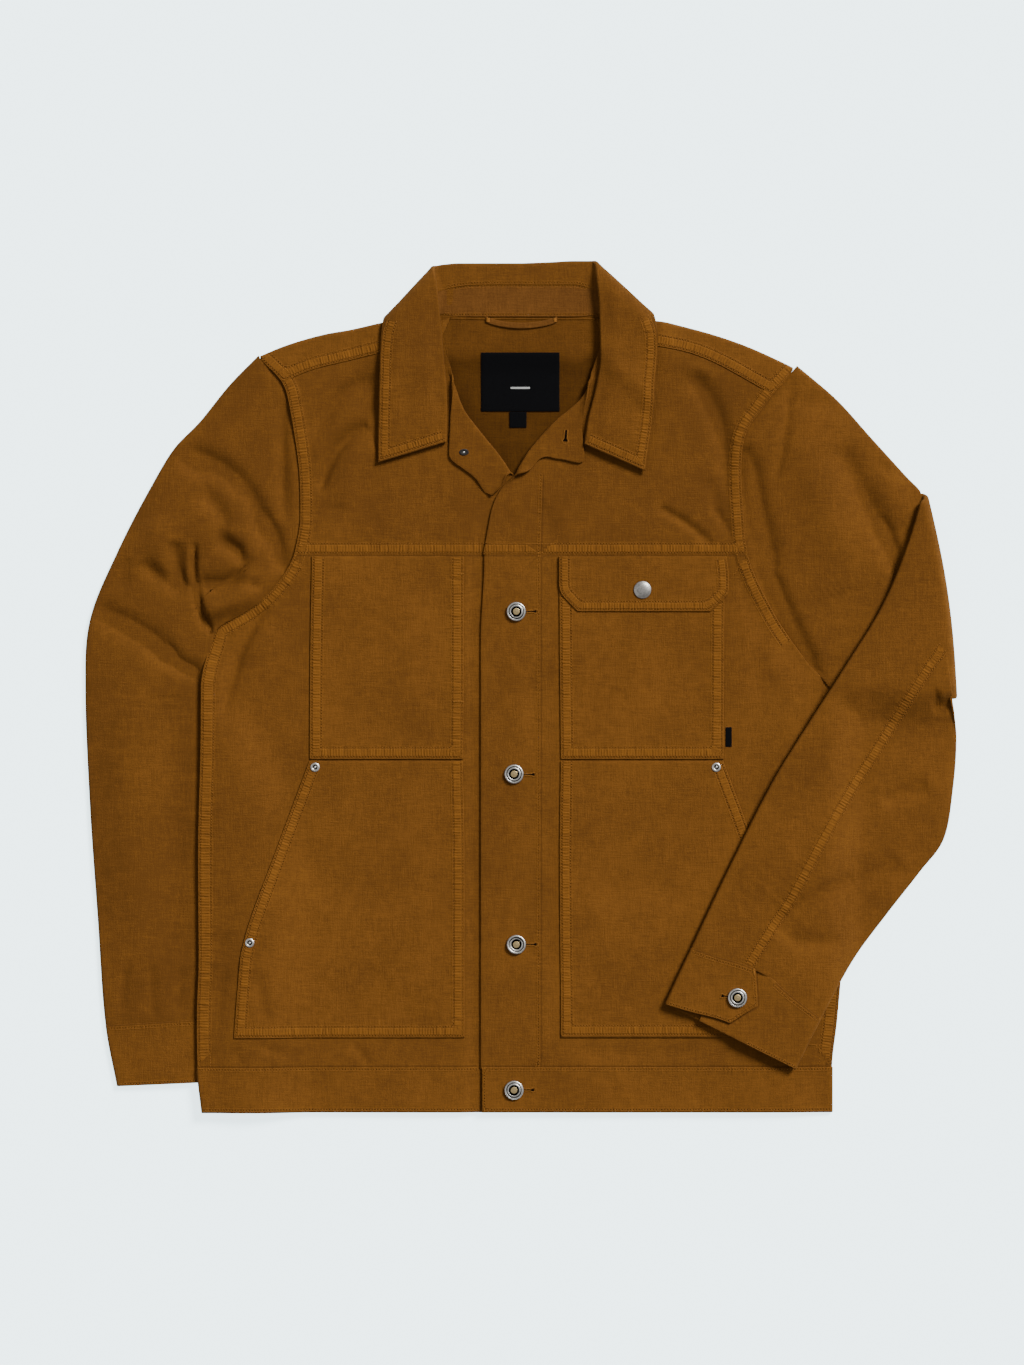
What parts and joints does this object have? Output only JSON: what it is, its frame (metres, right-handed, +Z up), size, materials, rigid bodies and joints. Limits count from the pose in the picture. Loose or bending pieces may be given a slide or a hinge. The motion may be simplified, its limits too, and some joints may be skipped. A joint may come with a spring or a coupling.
{
  "type": "trucker jacket",
  "caption": "Canvas trucker jacket laid flat on its back, collar open, with chest and hand pockets, a waistband, and its left sleeve folded over at the elbow.",
  "frame": {"origin": "centre of the jacket's outline, on the surface that it lies on", "axes": "+X towards the wearer's left, +Y towards the collar, +Z up from the surface, out of the jacket's front"},
  "size_m": [0.7674, 0.7501, 0.0187],
  "materials": {
    "canvas": "washed cotton duck canvas, worn paler along its seams",
    "canvas_inside": "inner side of the canvas",
    "label": "woven label",
    "silver": "nickel-plated tack button",
    "pewter": "antique snap cap",
    "copper": "dull coppered rivet"
  },
  "bodies": {
    "root": {"back": "canvas", "right_front": "canvas", "left_front": "canvas", "right_front_yoke": "canvas", "left_front_yoke": "canvas", "waistband": "canvas", "right_chest_pocket": "canvas", "left_chest_pocket": "canvas", "pocket_flap": "canvas", "right_hand_pocket": "canvas", "left_hand_pocket": "canvas", "right_sleeve_top": "canvas", "right_sleeve_under": "canvas", "left_sleeve_top": "canvas", "left_sleeve_under": "canvas", "right_cuff": "canvas", "left_cuff": "canvas", "collar_stand": "canvas_inside", "collar_fall": "canvas", "hanger_loop": "canvas_inside", "neck_label": "label", "size_tab": "label", "pocket_tab": "label", "front_button_1": "silver", "front_button_2": "silver", "front_button_3": "silver", "front_button_4": "silver", "left_cuff_button": "silver", "flap_snap": "pewter", "rivet_right_pocket_top": "copper", "rivet_right_pocket_side": "copper", "rivet_left_pocket_top": "copper", "lapel_tack_back": "copper"}
  },
  "joints": []
}
